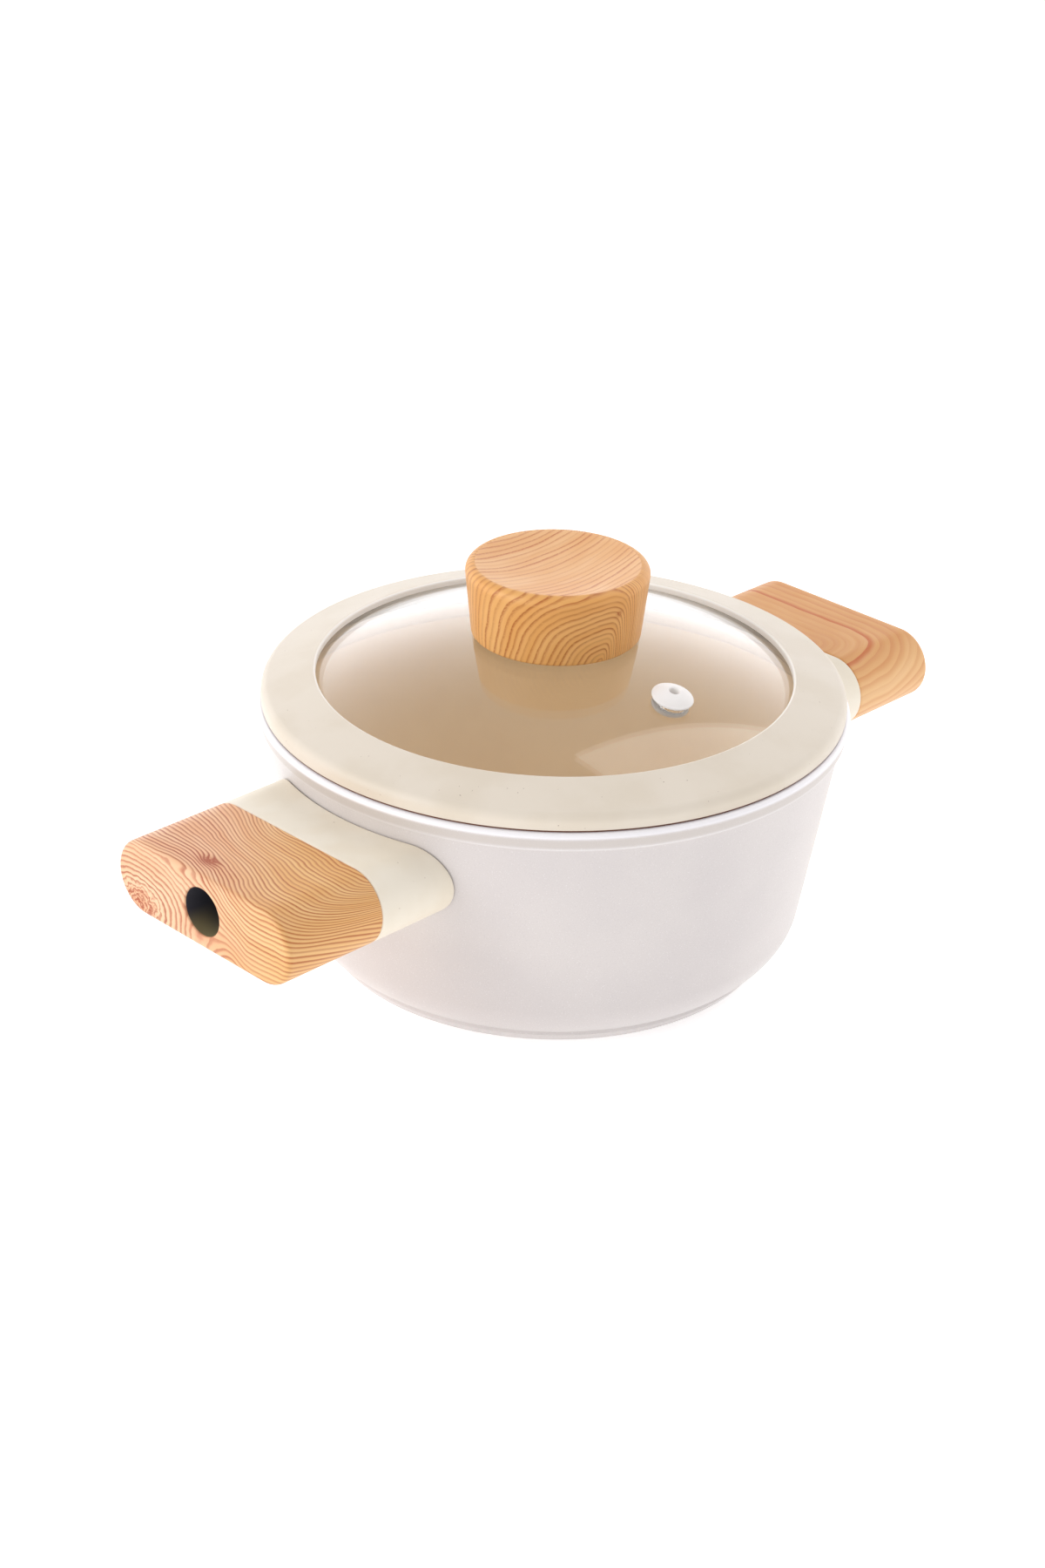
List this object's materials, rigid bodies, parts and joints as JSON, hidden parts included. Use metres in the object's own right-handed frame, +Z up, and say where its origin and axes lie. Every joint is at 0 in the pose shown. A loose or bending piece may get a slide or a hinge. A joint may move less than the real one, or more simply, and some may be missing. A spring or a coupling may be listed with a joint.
{
  "type": "two-handled saucepan with glass lid",
  "caption": "Low round cooking pot with a tapered wall, two opposed bar handles, and a domed see-through lid with a soft rim, a steam vent and a wide grip on top.",
  "frame": {"origin": "centre of the base, on the surface the pan stands on", "axes": "+X towards the right handle, +Y away from the steam vent, +Z up"},
  "size_m": [0.2594, 0.168, 0.1153],
  "materials": {
    "pan_coating": "satin",
    "base_steel": "satin",
    "neck_cream": "satin",
    "left_grip_wood": "satin",
    "right_grip_wood": "satin",
    "fastener_steel": "satin",
    "insert_brass": "satin",
    "rim_silicone": "matte",
    "lid_glass": "gloss",
    "knob_wood": "satin",
    "seal_silicone": "matte",
    "vent_silicone": "matte"
  },
  "bodies": {
    "pan": {"pan_body": "pan_coating", "base_plate": "base_steel", "left_handle_neck": "neck_cream", "left_handle_grip": "left_grip_wood", "left_handle_screw": "fastener_steel", "left_handle_washer": "fastener_steel", "left_handle_insert": "insert_brass", "right_handle_neck": "neck_cream", "right_handle_grip": "right_grip_wood", "right_handle_screw": "fastener_steel", "right_handle_washer": "fastener_steel", "right_handle_insert": "insert_brass"},
    "lid_rim": {"lid_rim": "rim_silicone"},
    "lid": {"lid_glass": "lid_glass", "lid_knob": "knob_wood", "knob_insert": "insert_brass", "knob_screw": "fastener_steel", "knob_washer": "fastener_steel", "knob_upper_seal": "seal_silicone", "knob_lower_seal": "seal_silicone", "steam_vent": "vent_silicone"}
  },
  "joints": [
    {"name": "lid_lift", "type": "slide", "parent": "pan", "child": "lid_rim", "axis": [0, 0, 1], "range_m": [0, 0.12]},
    {"name": "lid_turn", "type": "hinge", "parent": "lid_rim", "child": "lid", "pos_m": [0, 0, 0.09], "axis": [0, 0, 1], "continuous": true}
  ]
}
